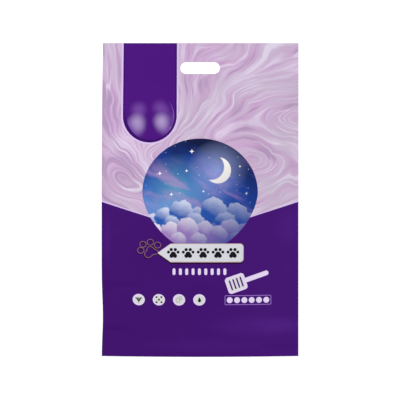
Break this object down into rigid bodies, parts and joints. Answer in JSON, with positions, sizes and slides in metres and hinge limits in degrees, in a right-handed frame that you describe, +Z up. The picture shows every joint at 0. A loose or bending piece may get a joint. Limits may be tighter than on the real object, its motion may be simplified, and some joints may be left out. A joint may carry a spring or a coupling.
{
  "type": "cat litter packaging bag",
  "caption": "Empty printed film bag for cat litter: welded sides and foot, flat welded header with a punched hand slot, lying on its plain back.",
  "frame": {"origin": "under the middle of the bag, on the surface that it lies on", "axes": "+Z up out of the printed face, +Y along the bag towards the hand slot, +X to the right of the print"},
  "size_m": [0.376, 0.6, 0.0131],
  "materials": {
    "printed_film": "satin"
  },
  "bodies": {
    "root": {"litter_bag": "printed_film"}
  },
  "joints": []
}
